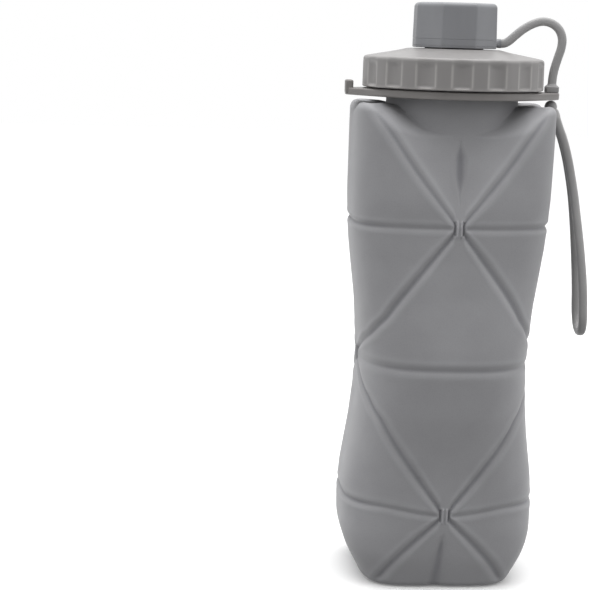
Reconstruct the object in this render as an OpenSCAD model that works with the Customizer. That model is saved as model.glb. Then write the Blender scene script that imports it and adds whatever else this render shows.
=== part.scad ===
// Folding silicone water bottle with a screw lid, a drinking cap and a hand strap.
// The origin is the middle of the base, +Z is up, the hook tab points to -X and the strap tab to +X.

/* [Bottle] */
// Width across the widest folds
body_w = 79; // [74:0.5:80]
// Width across the flat base
base_w = 61; // [56:0.5:64]
// Thickness of the silicone wall
wall = 2.2; // [1.8:0.1:2.4]
// Height of the shoulder, where the neck rises from the body
shoulder_z = 188.5; // [188:0.1:189]
// Depth of the ring creases that the bottle folds at
crease_depth = 1.2; // [0.6:0.1:1.6]

/* [Neck] */
// Outer radius of the silicone neck
neck_r = 26.2; // [26:0.1:26.3]
// Radius of the mouth inside the threaded collar
mouth_r = 21.9; // [21:0.1:22.2]
// Radius of the collar under its thread
collar_r = 29.5; // [29.2:0.1:29.7]
// Top of the collar
collar_top_z = 205.5; // [205.2:0.1:205.6]

/* [Lid] */
// Outer radius of the lid
lid_r = 36; // [35:0.5:37]
// Lower edge of the lid
lid_z = 196.5; // [196.5:0.1:196.9]
// Height of the lid's fluted side
lid_side_h = 12.3; // [12:0.1:12.6]
// Number of flutes round the lid
flutes = 16; // [12:1:18]
// Depth of each flute
flute_depth = 0.8; // [0.5:0.1:1]
// Rise of the lid for one turn of its thread
lid_lead = 9; // [9:0.5:9]

/* [Cap] */
// Radius of the octagonal cap at its corners
cap_r = 17.3; // [17:0.1:17.4]
// Lower edge of the cap
cap_z = 212.4; // [212.3:0.1:212.5]
// Height of the cap
cap_h = 17.6; // [17.4:0.1:18]
// Outer radius of the drinking spout
spout_r = 11; // [10.8:0.1:11]
// Bore radius of the drinking spout
spout_bore_r = 9; // [8:0.5:9.2]
// Rise of the cap for one turn of its thread
cap_lead = 10; // [10:0.5:10]

/* [Strap] */
// Diameter of the strap's cord
cord_d = 3.4; // [3:0.1:3.5]
// Distance of the strap's hole from the bottle's axis
strap_x = 39.7; // [39.6:0.1:39.8]
// Height of the middle of the ball under the strap tab
ball_z = 190.2; // [190.1:0.1:190.3]
// Radius of that ball
ball_r = 2.5; // [2.2:0.1:2.5]

/* [Hidden] */
$fn = 96;

silicone = [0.50, 0.50, 0.51];
silicone_dark = [0.44, 0.44, 0.46];
plastic = [0.62, 0.60, 0.58];
seal = [0.85, 0.85, 0.84];

// Heights of the three ring creases, from the lowest.
crease_z = [30.5, 87.5, 144];
crease_half_h = 1.5;
wide = body_w / 2;
base = base_w / 2;
// Half widths by height: across X, from hook tab to strap tab, and across Y, from front to back.
half_x_at = [[0, base - 1.5], [2.5, base + 1.8], [6, base + 4.3], [12, wide - 2.4], [20, wide - 1.1],
    [crease_z[0], wide - 0.6], [42, wide - 1.3], [61, wide - 4.1], [74, wide - 5.4],
    [crease_z[1], wide - 5.9], [98, wide - 5.4], [111, wide - 4.4], [123, wide - 2.7],
    [135, wide - 1.1], [crease_z[2], wide - 0.4], [154, wide], [178, wide], [shoulder_z - 3.5, wide - 0.2],
    [shoulder_z - 1, wide - 1.4], [shoulder_z, wide - 3.6]];
half_y_at = [[0, base - 1.9], [2.5, base + 0.5], [12, wide - 6], [22, wide - 4.8],
    [crease_z[0], wide - 4.2], [45, wide - 3.5], [58, wide - 2.3], [70, wide - 0.8],
    [crease_z[1], wide + 0.2], [96, wide - 0.1], [105, wide - 1.2], [117, wide - 2.8], [130, wide - 4],
    [crease_z[2], wide - 4.5], [152, wide - 4.5], [172, wide - 6.4], [shoulder_z - 3, wide - 8.1],
    [shoulder_z, wide - 11]];
// How square each section is: 2 is an ellipse, and more is squarer.
squareness_at = [[0, 4.5], [crease_z[0], 3.2], [crease_z[1], 2.8], [crease_z[2], 3.2], [shoulder_z, 4.5]];
// The front and back gussets under the neck: their least half depth, and how it falls and widens.
gusset_least = neck_r + 2.8;
gusset_fall = 0.27;
gusset_widen = 0.22;
columns = 48;

neck_gap = 0.4;
neck_wall = 2;
neck_bottom_z = 180;
collar_wall = 2.1;
collar_wall_z = 196.3;
collar_web_h = 3;
skirt_r = neck_r - neck_wall - 0.2;
skirt_z = 178;

ring_z = 193;
ring_h = 3.1;
ring_r = 34.5;
tab_reach = 42.8;
tab_w = 12;
tab_h = 2.7;
hook_lip_w = 3.4;
hook_top_z = 198.9;

lid_bore_r = 31.4;
lid_ceiling_z = 206.9;
lid_side_top_z = lid_z + lid_side_h;
lid_top_z = cap_z - 0.4;
spout_top_z = 224.6;

cap_bore_r = 12.7;
cap_ceiling_z = cap_z + 14.8;
cap_turned = 23;
lid_turned = 20;
groove_z = cap_z + 0.9;
groove_h = 2.6;
groove_r = 13.9;
lug_end_x = 18.2;

block_z = ring_z + tab_h;
block_h = 2.9;

// The tether's route, from the lug on the cap's ring to the block on the strap tab.
tether_route = [[18.5, 0, 214.6], [20.2, 0, 214.8], [22, 0, 215.9], [24.3, 0, 218],
    [27.2, 0, 220.4], [30.7, 0, 222.5], [34.8, 0, 223.7], [38.7, 0, 222.9], [41.6, 0, 220.5], [42.9, 0, 217.1],
    [42.7, 0, 213.5], [41.6, 0, 209.6], [40.5, 0, 205.6], [39.9, 0, 202], [39.7, 0, 198]];
// The hand loop's front strand, from the yoke under the ball down to the lowest point.
loop_route = [[41.9, -1.75, 185.4], [43.2, -1.8, 182], [45.2, -1.8, 177], [47.3, -1.9, 170],
    [48.9, -2.1, 163], [50.3, -2.6, 156], [51.4, -3.3, 149], [52.4, -4.4, 142], [53.3, -5.6, 135],
    [54.1, -6.6, 128], [54.8, -7.4, 121], [55.3, -7.9, 114], [55.6, -8, 107.6], [55.8, -7.3, 104.3],
    [55.9, -5.6, 101.6], [56, -3.1, 100.1], [56, 0, 99.6]];
cord_sides = 8;

// Outline radius of a section at an angle.
function section_r(angle, half_x, half_y, squareness) =
    pow(pow(abs(cos(angle)) / half_x, squareness) + pow(abs(sin(angle)) / half_y, squareness),
        -1 / squareness);

// How far the wall stands in at a ring crease.
function crease_in(z) =
    crease_depth * max([for (c = crease_z) 1 - min(abs(z - c) / crease_half_h, 1)]);

// Half depth that the front and back gussets leave, from the star of the top crease up to the neck.
function gusset_y(x, z) =
    z < crease_z[2] ? body_w
        : max(gusset_least, wide - 4.5 - gusset_fall * (z - crease_z[2]) + gusset_widen * abs(x));

// One closed row of the body's surface, moved in by inset.
function body_row(z, inset) =
    [for (k = [0 : columns - 1])
        let (a = 360 * k / columns,
            r = section_r(a, lookup(z, half_x_at), lookup(z, half_y_at), lookup(z, squareness_at))
                - crease_in(z) - inset,
            x = r * cos(a),
            y = r * sin(a))
        [x, sign(y) * min(abs(y), gusset_y(x, z) - inset), z]];

// A round row at radius r.
function round_row(r, z) =
    [for (k = [0 : columns - 1]) let (a = 360 * k / columns) [r * cos(a), r * sin(a), z]];

// Unit vector along v.
function unit(v) = v / norm(v);

// Direction of a route at its point i.
function heading(route, i) = unit(route[min(i + 1, len(route) - 1)] - route[max(i - 1, 0)]);

// Rings of a round cord along a route that never runs along the side vector.
function cord_rings(route, side) =
    [for (i = [0 : len(route) - 1])
        let (t = heading(route, i), b = unit(cross(t, side)), n = cross(b, t))
        [for (k = [0 : cord_sides - 1])
            let (a = 360 * k / cord_sides)
            route[i] + cord_d / 2 * (cos(a) * n + sin(a) * b)]];

// Rings of one helical thread ridge: from root radius r to r + depth, rising lead in a turn.
function thread_rings(r, depth, width, lead, z, sweep) =
    let (in = depth > 0 ? -0.4 : 0.4, step = 9)
    [for (a = [0 : step : sweep])
        let (h = z + lead * a / 360, c = cos(a), s = sin(a), crest = width * 0.45)
        [[(r + in) * c, (r + in) * s, h - width / 2], [(r + depth) * c, (r + depth) * s, h - crest / 2],
            [(r + depth) * c, (r + depth) * s, h + crest / 2], [(r + in) * c, (r + in) * s, h + width / 2]]];

// A closed solid through rings that have the same number of points, as seen from its start.
module swept(rings) {
    m = len(rings[0]);
    last = (len(rings) - 1) * m;
    sides = [for (i = [0 : len(rings) - 2], j = [0 : m - 1])
        let (a = i * m + j, b = i * m + (j + 1) % m)
        each [[a, b, b + m], [a, b + m, a + m]]];
    caps = [[for (j = [m - 1 : -1 : 0]) j], [for (j = [0 : m - 1]) last + j]];
    polyhedron([for (ring = rings) each ring], concat(sides, caps));
}

// A thread of several starts. A negative depth makes an inside thread, with its faces the other way.
module thread(r, depth, width, lead, z, sweep, starts, turned) {
    rings = thread_rings(r, depth, width, lead, z, sweep);
    for (k = [0 : starts - 1])
        rotate(turned + 360 * k / starts)
            swept(depth > 0 ? rings : [for (ring = rings) [ring[3], ring[2], ring[1], ring[0]]]);
}

// A turned ring with a rectangular section.
module washer(r_in, r_out, z, h) {
    translate([0, 0, z])
        difference() {
            cylinder(r = r_out, h = h);
            translate([0, 0, -1])
                cylinder(r = r_in, h = h + 2);
        }
}

// The folding body: one thin shell, closed at the base and open to the neck.
module bottle_wall() {
    outer = [0, 2.5, 6, 12, 20, 29, 30.5, 32, 42, 52, 62, 73, 86, 87.5, 89, 100, 111, 123, 135, 142.5,
        144, 145.5, 156, 168, 178, 185, 187.5, shoulder_z];
    inner = [185.2, 176, 162, 145.5, 144, 142.5, 129, 111, 89, 87.5, 86, 62, 42, 32, 30.5, 29, 14, 6, 2.6];
    hole_r = neck_r + neck_gap;
    rows = concat([for (z = outer) body_row(z, 0)], [round_row(hole_r, shoulder_z)],
        [round_row(hole_r, shoulder_z - wall)], [for (z = inner) body_row(z, z > 4 ? wall : wall + 1.5)]);
    n = len(rows);
    points = concat([for (row = rows) each row], [[0, 0, outer[0]], [0, 0, inner[len(inner) - 1]]]);
    sides = [for (i = [0 : n - 2], k = [0 : columns - 1])
        let (a = i * columns + k, b = i * columns + (k + 1) % columns)
        each [[a, b + columns, b], [a, a + columns, b + columns]]];
    floor_outside = [for (k = [0 : columns - 1]) [n * columns, k, (k + 1) % columns]];
    floor_inside = [for (k = [0 : columns - 1])
        [n * columns + 1, (n - 1) * columns + (k + 1) % columns, (n - 1) * columns + k]];
    color(silicone)
        polyhedron(points, concat(sides, floor_outside, floor_inside));
}

// The silicone neck, with the bead that the collar grips.
module bottle_neck() {
    r_in = neck_r - neck_wall;
    top = collar_top_z - collar_web_h - 0.2;
    color(silicone)
        rotate_extrude()
            polygon([[r_in, neck_bottom_z], [neck_r, neck_bottom_z], [neck_r, 198.6], [27.1, 199.4],
                [27.1, top], [r_in, top]]);
}

// The rigid collar: a barbed skirt inside the neck and a threaded wall outside it.
module neck_collar() {
    wall_r = collar_r - collar_wall;
    web_z = collar_top_z - collar_web_h;
    barb = 0.45;
    color(plastic)
        union() {
            rotate_extrude()
                polygon(concat([[mouth_r, skirt_z]],
                    [for (z = [skirt_z : 5 : skirt_z + 15]) each
                        [[skirt_r - 0.3, z], [skirt_r + barb, z + 2.2], [skirt_r - 0.3, z + 2.8]]],
                    [[skirt_r, skirt_z + 19], [skirt_r, web_z], [wall_r, web_z], [wall_r, collar_wall_z],
                        [collar_r, collar_wall_z], [collar_r, collar_top_z - 0.6],
                        [collar_r - 0.6, collar_top_z], [mouth_r + 0.6, collar_top_z],
                        [mouth_r, collar_top_z - 0.6]]));
            thread(collar_r, 1.5, 1.7, lid_lead, 198.6, 171, 3, 0);
        }
}

// Outline of the ring with its two tabs: each tab's sides run straight and tangent into the ring.
function ring_outline() =
    let (r = tab_w / 2, end_x = tab_reach - r, lean = acos((ring_r - r) / end_x), side = 180 - 2 * lean)
    [for (turn = [0, 180]) each concat(
        [for (k = [-8 : 8]) let (a = turn + lean * k / 8)
            [end_x * cos(turn) + r * cos(a), r * sin(a)]],
        [for (k = [1 : 19]) let (a = turn + lean + side * k / 20) ring_r * [cos(a), sin(a)]])];

// The upright lip at the end of the hook tab.
module hook_lip() {
    half_w = 3.5;
    inner_x = tab_reach - hook_lip_w;
    translate([0, 0, ring_z + 1])
        linear_extrude(hook_top_z - ring_z - 1)
            polygon([[inner_x, -half_w], [tab_reach - 1.5, -half_w], [tab_reach - 0.5, -half_w / 2],
                [tab_reach - 0.5, half_w / 2], [tab_reach - 1.5, half_w], [inner_x, half_w]]);
}

// The ring under the lid, with a hook tab on one side and the strap's tab on the other.
module carry_ring() {
    color(plastic)
        difference() {
            union() {
                translate([0, 0, ring_z])
                    linear_extrude(tab_h)
                        polygon(ring_outline());
                translate([0, 0, ring_z + 1])
                    cylinder(r = ring_r - 0.3, h = ring_h - 1);
                rotate(180)
                    hook_lip();
            }
            translate([0, 0, ring_z - 1])
                cylinder(r = neck_r + 0.3, h = ring_h + 2);
            translate([strap_x, 0, ring_z - 1])
                cylinder(r = 1.8, h = tab_h + 2);
        }
}

// The flat seal between the collar and the lid.
module lid_gasket() {
    color(seal)
        washer(23.4, 28.6, collar_top_z + 0.1, 1.2);
}

// The fluted screw lid, with the drinking spout moulded on.
module lid() {
    flute_w = 8.8;
    flute_r = flute_w * flute_w / (8 * flute_depth) + flute_depth / 2;
    edge = 0.8;
    color(plastic)
        union() {
            difference() {
                rotate_extrude()
                    polygon([[spout_bore_r, lid_ceiling_z], [lid_bore_r, lid_ceiling_z],
                        [lid_bore_r, lid_z], [lid_r - edge, lid_z], [lid_r, lid_z + edge],
                        [lid_r, lid_side_top_z - edge], [lid_r - edge, lid_side_top_z],
                        [cap_r, lid_top_z], [spout_r, lid_top_z], [spout_r, spout_top_z - 0.6],
                        [spout_r - 0.6, spout_top_z], [spout_bore_r, spout_top_z]]);
                for (k = [0 : flutes - 1])
                    rotate(360 * k / flutes + lid_turned)
                        translate([lid_r - flute_depth + flute_r, 0, lid_z - 1])
                            cylinder(r = flute_r, h = lid_side_h + 2);
            }
            thread(lid_bore_r, -1.5, 1.7, lid_lead, 198.6, 171, 3, 60);
            thread(spout_r, 1.3, 2.3, cap_lead, 215.2, 189, 2, 0);
        }
}

// The seal inside the cap.
module cap_liner() {
    color(seal)
        translate([0, 0, spout_top_z + 0.2])
            cylinder(r = 12.2, h = 2);
}

// The octagonal drinking cap, with the groove that the strap's ring turns in.
module cap() {
    soft = 2.2;
    top_z = cap_z + cap_h;
    color(silicone_dark)
        union() {
            difference() {
                intersection() {
                    translate([0, 0, cap_z])
                        rotate(cap_turned)
                            cylinder(r = cap_r, h = cap_h, $fn = 8);
                    rotate_extrude()
                        union() {
                            translate([0, cap_z])
                                square([cap_r - 0.4, cap_h - soft]);
                            translate([0, cap_z])
                                square([cap_r - 0.4 - soft, cap_h]);
                            translate([cap_r - 0.4 - soft, top_z - soft])
                                circle(r = soft);
                        }
                }
                translate([0, 0, cap_z - 1])
                    cylinder(r = cap_bore_r, h = cap_ceiling_z - cap_z + 1);
                washer(groove_r, cap_r + 2, groove_z, groove_h);
            }
            thread(cap_bore_r, -1.3, 2.3, cap_lead, 215.2, 189, 2, 90);
        }
}

// The strap's ring in the cap's groove, as eight-sided as the cap, and the lug that the tether leaves from.
module strap_ring() {
    gap = 0.15;
    h = groove_h - 2 * gap;
    r_in = groove_r + gap;
    color(silicone_dark)
        difference() {
            union() {
                translate([0, 0, groove_z + gap])
                    rotate(cap_turned)
                        cylinder(r = cap_r, h = h, $fn = 8);
                translate([0, -cord_d / 2, groove_z + gap])
                    cube([lug_end_x, cord_d, h]);
            }
            translate([0, 0, groove_z - 1])
                cylinder(r = r_in, h = groove_h + 2);
        }
}

// The cord from the cap's ring to the strap tab.
module strap_tether() {
    color(silicone_dark)
        swept(cord_rings(tether_route, [0, 1, 0]));
}

// The block on the strap tab, with its stem through the tab's hole.
module strap_stopper() {
    block_w = 5.2;
    color(silicone_dark)
        union() {
            translate([strap_x - block_w / 2, -block_w / 2, block_z + 0.05])
                cube([block_w, block_w, block_h - 0.05]);
            translate([strap_x, 0, ring_z + 0.1])
                cylinder(r = 1.6, h = tab_h + 1);
        }
}

// The ball under the tab that keeps the strap from pulling through, and that the loop swings on.
module strap_knot() {
    color(silicone_dark)
        translate([strap_x, 0, ball_z])
            sphere(r = ball_r, $fn = 48);
}

// The taper under the ball where the strap splits into the loop's two strands.
module loop_yoke() {
    start = loop_route[0];
    down = heading(loop_route, 0);
    lean = atan2(down[0], -down[2]);
    color(silicone_dark)
        difference() {
            hull() {
                translate([strap_x, 0, ball_z])
                    rotate([0, -lean, 0])
                        translate([0, 0, -1.6])
                            cylinder(r = 2.2, h = 0.6, $fn = 32);
                for (side = [-1, 1])
                    translate([start[0], side * 1.75, start[2]])
                        rotate([0, -lean, 0])
                            translate([0, 0, -1])
                                cylinder(r = cord_d / 2 + 0.1, h = 0.6, $fn = 24);
            }
            translate([strap_x, 0, ball_z])
                sphere(r = ball_r + 0.25, $fn = 48);
        }
}

// The loop for the hand: down the front strand, round the bottom and up the back strand.
module hand_loop() {
    back = [for (i = [len(loop_route) - 2 : -1 : 0])
        [loop_route[i][0], -loop_route[i][1], loop_route[i][2]]];
    color(silicone_dark)
        swept(cord_rings(concat(loop_route, back), [1, 0, 0]));
}

bottle_wall();
bottle_neck();
neck_collar();
carry_ring();
lid_gasket();
lid();
cap_liner();
cap();
strap_ring();
strap_tether();
strap_stopper();
strap_knot();
loop_yoke();
hand_loop();
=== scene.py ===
from math import asin, cos, pi, radians, sin, sqrt

import bpy
import numpy as np
from mathutils import Matrix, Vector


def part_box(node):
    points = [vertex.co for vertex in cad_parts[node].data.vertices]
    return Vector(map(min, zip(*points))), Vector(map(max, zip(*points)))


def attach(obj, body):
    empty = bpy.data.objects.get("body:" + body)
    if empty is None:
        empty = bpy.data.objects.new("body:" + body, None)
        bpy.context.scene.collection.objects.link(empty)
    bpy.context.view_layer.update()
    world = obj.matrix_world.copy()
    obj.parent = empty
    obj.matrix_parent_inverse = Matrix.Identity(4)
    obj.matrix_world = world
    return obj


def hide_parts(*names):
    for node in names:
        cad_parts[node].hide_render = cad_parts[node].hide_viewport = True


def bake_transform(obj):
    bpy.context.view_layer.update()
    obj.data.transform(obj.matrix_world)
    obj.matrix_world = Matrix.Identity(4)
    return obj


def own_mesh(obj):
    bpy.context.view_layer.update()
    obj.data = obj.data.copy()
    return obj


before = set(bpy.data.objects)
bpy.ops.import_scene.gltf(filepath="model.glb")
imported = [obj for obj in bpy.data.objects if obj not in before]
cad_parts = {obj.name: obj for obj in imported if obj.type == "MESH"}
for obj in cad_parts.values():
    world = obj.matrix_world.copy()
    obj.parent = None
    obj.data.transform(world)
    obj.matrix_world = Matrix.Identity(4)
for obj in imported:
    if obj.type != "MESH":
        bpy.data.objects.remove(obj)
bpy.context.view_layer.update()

MM = 0.001


def box_mm(node):
    """Lowest and highest corner of a CAD node, in millimetres."""
    low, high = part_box(node)
    return np.array(low) / MM, np.array(high) / MM


# Places taken from the frame.
WALL_HIGH = box_mm("bottle_wall")[1]
NECK_HIGH = box_mm("bottle_neck")[1]
RING_LOW, RING_HIGH = box_mm("carry_ring")
LID_LOW, LID_HIGH = box_mm("lid")
CAP_LOW, CAP_HIGH = box_mm("cap")
STRAP_RING_LOW, STRAP_RING_HIGH = box_mm("strap_ring")
STOPPER_LOW, STOPPER_HIGH = box_mm("strap_stopper")
KNOT_LOW, KNOT_HIGH = box_mm("strap_knot")


# ---------- camera ----------

def stand_camera():
    """The photograph's viewing angle: from the front, a little to the left and above the lid's height."""
    azimuth, distance, height = radians(-6.51), 0.6808, 0.2183
    heading, pitch, roll = radians(-1.41), radians(8.96), radians(1.6)
    ahead = np.array([-sin(heading) * cos(pitch), cos(heading) * cos(pitch), -sin(pitch)])
    level = np.array([cos(heading), sin(heading), 0.0])
    upward = np.cross(level, ahead)
    right = level * cos(roll) + upward * sin(roll)
    up = upward * cos(roll) - level * sin(roll)
    camera = bpy.data.objects.new("camera", bpy.data.cameras.new("camera"))
    camera.data.sensor_fit = "HORIZONTAL"
    camera.data.lens = 103.3
    camera.data.clip_start = 0.01
    camera.matrix_world = Matrix((
        (right[0], up[0], -ahead[0], sin(azimuth) * distance),
        (right[1], up[1], -ahead[1], -cos(azimuth) * distance),
        (right[2], up[2], -ahead[2], height),
        (0, 0, 0, 1)))
    bpy.context.collection.objects.link(camera)
    bpy.context.scene.camera = camera


stand_camera()


# ---------- mesh building ----------

def mesh_object(name, build, material, sharp=40, **marks):
    """A smooth-shaded mesh object of what was built. marks are values per point, from 0 to 1."""
    mesh = bpy.data.meshes.new(name)
    mesh.from_pydata((np.array(build.points) * MM).tolist(), [], build.faces)
    mesh.validate()
    mesh.shade_smooth()
    if sharp:
        mesh.set_sharp_from_angle(angle=radians(sharp))
    for mark, values in marks.items():
        mesh.attributes.new(mark, "FLOAT", "POINT").data.foreach_set("value", values)
    obj = bpy.data.objects.new(name, mesh)
    bpy.context.collection.objects.link(obj)
    mesh.materials.append(material)
    return obj


def band_faces(rows, columns, closed):
    """Quads between rows of points that each run round a closed loop."""
    faces = []
    for i in range(rows if closed else rows - 1):
        a, b = i * columns, (i + 1) % rows * columns
        faces += [(a + k, a + (k + 1) % columns, b + (k + 1) % columns, b + k) for k in range(columns)]
    return faces


class Build:
    """Collects the closed shells of one piece, in millimetres."""

    def __init__(self):
        self.points, self.faces = [], []

    def rings(self, rings, closed=False):
        """A shell through loops of points. A shell that isn't closed on itself gets a cap at each end."""
        rings = np.asarray(rings)
        count, columns = rings.shape[:2]
        faces = band_faces(count, columns, closed)
        if not closed:
            last = (count - 1) * columns
            faces += [tuple(range(columns))[::-1], tuple(range(last, last + columns))]
        start = len(self.points)
        self.points += [tuple(p) for p in rings.reshape(-1, 3)]
        self.faces += [tuple(i + start for i in face) for face in faces]


def full_turn(sides):
    """Angles spread evenly over a full turn."""
    return np.arange(sides) * 2 * pi / sides


def level_loop(radius, turn, z):
    """A level loop of points from its radius, or its radius at each angle."""
    return np.stack([radius * np.cos(turn), radius * np.sin(turn), np.full(len(turn), z)], -1)


def lengths_along(points):
    """Length along a line of points up to each of them."""
    return np.concatenate([[0], np.cumsum(np.linalg.norm(np.diff(points, axis=0), axis=1))])


def smoothstep(low, high, value):
    """0 at low, 1 at high, with a smooth run between them."""
    t = np.clip((value - low) / (high - low), 0, 1)
    return t * t * (3 - 2 * t)


def soft_max(a, b, blend):
    """The larger of two values, with the corner between them rounded off."""
    return 0.5 * (a + b + np.sqrt((a - b) ** 2 + blend ** 2))


def smooth_route(route, step):
    """Points every step along a smooth curve through a route's own points."""
    p = np.array(route, float)
    p = np.vstack([2 * p[0] - p[1], p, 2 * p[-1] - p[-2]])
    curve = []
    for i in range(1, len(p) - 2):
        a, b, c, d = p[i - 1:i + 3]
        for t in np.linspace(0, 1, 16, endpoint=False):
            curve.append(0.5 * (2 * b + (c - a) * t + (2 * a - 5 * b + 4 * c - d) * t ** 2
                                + (3 * b - a - 3 * c + d) * t ** 3))
    curve = np.array(curve + [p[-2]])
    along = lengths_along(curve)
    wanted = np.linspace(0, along[-1], int(round(along[-1] / step)) + 1)
    return np.stack([np.interp(wanted, along, curve[:, k]) for k in range(3)], -1)


def tube_rings(path, side, wide, high, square=2.5, sides=24):
    """Loops of a soft-cornered section along a path. side is a direction that the path never runs along."""
    path = np.asarray(path)
    ahead = np.gradient(path, axis=0)
    ahead /= np.linalg.norm(ahead, axis=1)[:, None]
    across = np.cross(ahead, np.asarray(side, float))
    across /= np.linalg.norm(across, axis=1)[:, None]
    level = np.cross(across, ahead)
    turn = full_turn(sides)
    r = (np.abs(np.cos(turn)) ** square + np.abs(np.sin(turn)) ** square) ** (-1 / square)
    wide = np.broadcast_to(wide, len(path))[:, None, None]
    high = np.broadcast_to(high, len(path))[:, None, None]
    return (path[:, None] + wide / 2 * (r * np.cos(turn))[None, :, None] * level[:, None]
            + high / 2 * (r * np.sin(turn))[None, :, None] * across[:, None])


# ---------- materials ----------

def new_material(name, colour, roughness):
    """A Principled material, its node tree and its shader node."""
    material = bpy.data.materials.new(name)
    material.use_nodes = True
    tree = material.node_tree
    shader = tree.nodes["Principled BSDF"]
    shader.inputs["Base Color"].default_value = (*colour, 1)
    shader.inputs["Roughness"].default_value = roughness
    return material, tree, shader


def noise(tree, scale, detail, stretch=(1, 1, 1)):
    """A noise texture on the object's own coordinates, in metres."""
    place = tree.nodes.new("ShaderNodeTexCoord")
    mapping = tree.nodes.new("ShaderNodeMapping")
    mapping.inputs["Scale"].default_value = stretch
    texture = tree.nodes.new("ShaderNodeTexNoise")
    texture.inputs["Scale"].default_value = scale
    texture.inputs["Detail"].default_value = detail
    tree.links.new(place.outputs["Object"], mapping.inputs["Vector"])
    tree.links.new(mapping.outputs["Vector"], texture.inputs["Vector"])
    return texture.outputs["Fac"]


def ramp(tree, value, stops):
    """A colour ramp fed by value. stops are (position, colour)."""
    node = tree.nodes.new("ShaderNodeValToRGB")
    while len(node.color_ramp.elements) < len(stops):
        node.color_ramp.elements.new(0.5)
    for element, (position, colour) in zip(node.color_ramp.elements, stops):
        element.position = position
        element.color = (*colour, 1)
    tree.links.new(value, node.inputs["Fac"])
    return node.outputs["Color"]


def multiply(tree, a, b, amount=1.0):
    """Colour a darkened by colour b."""
    node = tree.nodes.new("ShaderNodeMix")
    node.data_type = "RGBA"
    node.blend_type = "MULTIPLY"
    node.inputs["Factor"].default_value = amount
    tree.links.new(a, node.inputs["A"])
    tree.links.new(b, node.inputs["B"])
    return node.outputs["Result"]


def marked(tree, colour, mark, stops):
    """A colour multiplied by a ramp over one of the mesh's own marks. A mesh without the mark counts as 0."""
    attribute = tree.nodes.new("ShaderNodeAttribute")
    attribute.attribute_name = mark
    return multiply(tree, colour, ramp(tree, attribute.outputs["Fac"], stops))


def bump(tree, shader, layers):
    """Stacked bumps. layers are (height, strength, distance in metres)."""
    previous = None
    for height, strength, distance in layers:
        node = tree.nodes.new("ShaderNodeBump")
        node.inputs["Strength"].default_value = strength
        node.inputs["Distance"].default_value = distance
        tree.links.new(height, node.inputs["Height"])
        if previous:
            tree.links.new(previous, node.inputs["Normal"])
        previous = node.outputs["Normal"]
    tree.links.new(previous, shader.inputs["Normal"])


def scaled(colour, by):
    """A colour made lighter or darker."""
    return tuple(c * by for c in colour)


def wandering_roughness(tree, shader, value, roughness):
    """Roughness that follows value between two limits."""
    node = tree.nodes.new("ShaderNodeMapRange")
    node.inputs["To Min"].default_value, node.inputs["To Max"].default_value = roughness
    tree.links.new(value, node.inputs["Value"])
    tree.links.new(node.outputs["Result"], shader.inputs["Roughness"])


# The colour that leaves what it multiplies as it is.
WHITE = (1, 1, 1)


def silicone(name, colour, mottle=0.06, roughness=(0.46, 0.62)):
    """Matt moulded silicone: cloudy tone, fine grain, painted shade in the creases and painted highlight on
    the ribs and the creases' lips.
    """
    material, tree, shader = new_material(name, colour, 0.55)
    dark, pale = scaled(colour, 1 - mottle), scaled(colour, 1 + mottle)
    clouds = ramp(tree, noise(tree, 45, 4), [(0.3, dark), (0.7, pale)])
    specks = ramp(tree, noise(tree, 2600, 2), [(0.3, scaled(WHITE, 0.9)), (0.5, WHITE)])
    tone = multiply(tree, clouds, specks, 0.6)
    # Painted shade: darker where the mesh's crease mark says a point lies deep in a crease.
    tone = marked(tree, tone, "crease", [(0.3, WHITE), (0.95, (0.7, 0.7, 0.72))])
    # Painted highlight: lighter where the mesh's highlight mark is set, on the ribs and the creases' lips.
    tone = marked(tree, tone, "rubbed", [(0, WHITE), (1, scaled(WHITE, 1.5))])
    tree.links.new(tone, shader.inputs["Base Color"])
    wandering_roughness(tree, shader, noise(tree, 120, 3), roughness)
    shader.inputs["Specular IOR Level"].default_value = 0.35
    shader.inputs["Sheen Weight"].default_value = 0.12
    shader.inputs["Sheen Roughness"].default_value = 0.5
    bump(tree, shader, [(noise(tree, 1500, 2), 0.16, 0.0002), (noise(tree, 90, 2), 0.1, 0.0006)])
    return material


def moulded_plastic(name, colour, grain=1800, roughness=(0.3, 0.46), edges=True):
    """Satin moulded plastic: faint flow marks down the draw and a fine grain, with or without painted shade
    in hollows and pale edges that are partly wear and partly painted highlight, and painted highlight where
    the mesh marks it.
    """
    material, tree, shader = new_material(name, colour, 0.4)
    streaks = noise(tree, 160, 3, (1, 1, 0.15))
    tone = ramp(tree, streaks, [(0.3, scaled(colour, 0.95)), (0.7, scaled(colour, 1.05))])
    if edges:
        # From the mesh's pointiness: painted shade in hollows, and lighter sharp edges that are partly wear
        # and partly painted highlight.
        geometry = tree.nodes.new("ShaderNodeNewGeometry")
        stops = [(0.47, scaled(WHITE, 0.93)), (0.5, WHITE), (0.56, (1.12, 1.12, 1.11))]
        tone = multiply(tree, tone, ramp(tree, geometry.outputs["Pointiness"], stops))
    # Painted highlight where the mesh's highlight mark is set.
    tone = marked(tree, tone, "rubbed", [(0, WHITE), (1, (1.55, 1.55, 1.53))])
    tree.links.new(tone, shader.inputs["Base Color"])
    wandering_roughness(tree, shader, noise(tree, 240, 4), roughness)
    shader.inputs["Specular IOR Level"].default_value = 0.45
    bump(tree, shader, [(noise(tree, grain, 2), 0.12, 0.00015), (noise(tree, 60, 2), 0.08, 0.0005)])
    return material


def seal_silicone(name):
    """Clear-white soft silicone of the two seals."""
    material, tree, shader = new_material(name, (0.72, 0.72, 0.70), 0.4)
    clouds = noise(tree, 200, 3)
    tone = ramp(tree, clouds, [(0.3, (0.66, 0.66, 0.64)), (0.7, (0.76, 0.76, 0.74))])
    tree.links.new(tone, shader.inputs["Base Color"])
    shader.inputs["Subsurface Weight"].default_value = 0.25
    shader.inputs["Subsurface Radius"].default_value = (0.002, 0.002, 0.002)
    bump(tree, shader, [(noise(tree, 1200, 2), 0.15, 0.0002)])
    return material


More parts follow.
